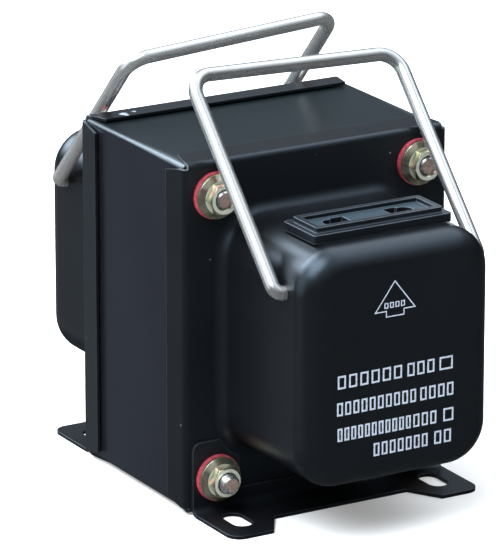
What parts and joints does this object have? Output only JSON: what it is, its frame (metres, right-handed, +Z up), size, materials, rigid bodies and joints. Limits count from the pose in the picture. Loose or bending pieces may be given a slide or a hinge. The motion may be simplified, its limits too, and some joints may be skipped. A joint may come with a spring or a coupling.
{
  "type": "step-down voltage converter",
  "caption": "Step-down transformer with drawn end bells, slotted sheet feet, a flat outlet on the front bell and hinged wire handles.",
  "frame": {"origin": "on the floor under the middle of the core", "axes": "+Z up, -Y to the front bell with the outlet, +X to the right seen from the front"},
  "size_m": [0.0842, 0.1471, 0.1225],
  "materials": {
    "black_paint": "gloss black paint over steel sheet",
    "wrap_paint": "gloss black paint over steel sheet",
    "lamination_iron": "oxidised silicon steel",
    "bobbin_nylon": "moulded",
    "enamelled_copper": "enamelled wire",
    "insulating_tape": "varnished",
    "zinc_steel": "zinc plated",
    "yellow_zinc": "yellow chromate over zinc",
    "red_fibre": "vulcanised fibre",
    "outlet_plastic": "dark grey moulding",
    "contact_brass": "spring strip",
    "lead_sleeve": "insulated wire",
    "grommet_rubber": "moulded",
    "bright_steel": "polished wire"
  },
  "bodies": {
    "transformer": {"core_e_stack": "lamination_iron", "core_i_stack": "lamination_iron", "bobbin": "bobbin_nylon", "common_winding": "enamelled_copper", "series_winding": "enamelled_copper", "winding_tape": "insulating_tape", "core_wrap": "wrap_paint", "front_bell": "black_paint", "rear_bell": "black_paint", "front_foot": "black_paint", "rear_foot": "black_paint", "bolt_sleeves": "insulating_tape", "upper_bolts": "zinc_steel", "lower_bolts": "zinc_steel", "flange_nuts": "yellow_zinc", "front_washers": "red_fibre", "rear_washers": "red_fibre", "outlet_face": "outlet_plastic", "outlet_cover": "outlet_plastic", "outlet_contacts": "contact_brass", "outlet_leads": "lead_sleeve", "input_leads": "lead_sleeve", "splice_caps": "bobbin_nylon", "cord_grommet": "grommet_rubber"},
    "front_grip": {"front_handle": "bright_steel"},
    "rear_grip": {"rear_handle": "bright_steel"}
  },
  "joints": [
    {"name": "front_grip_hinge", "type": "hinge", "parent": "transformer", "child": "front_grip", "pos_m": [0, -0.061, 0.0712], "axis": [1, 0, 0], "range_deg": [0, 233]},
    {"name": "rear_grip_hinge", "type": "hinge", "parent": "transformer", "child": "rear_grip", "pos_m": [0, 0.061, 0.0712], "axis": [-1, 0, 0], "range_deg": [0, 233]}
  ]
}
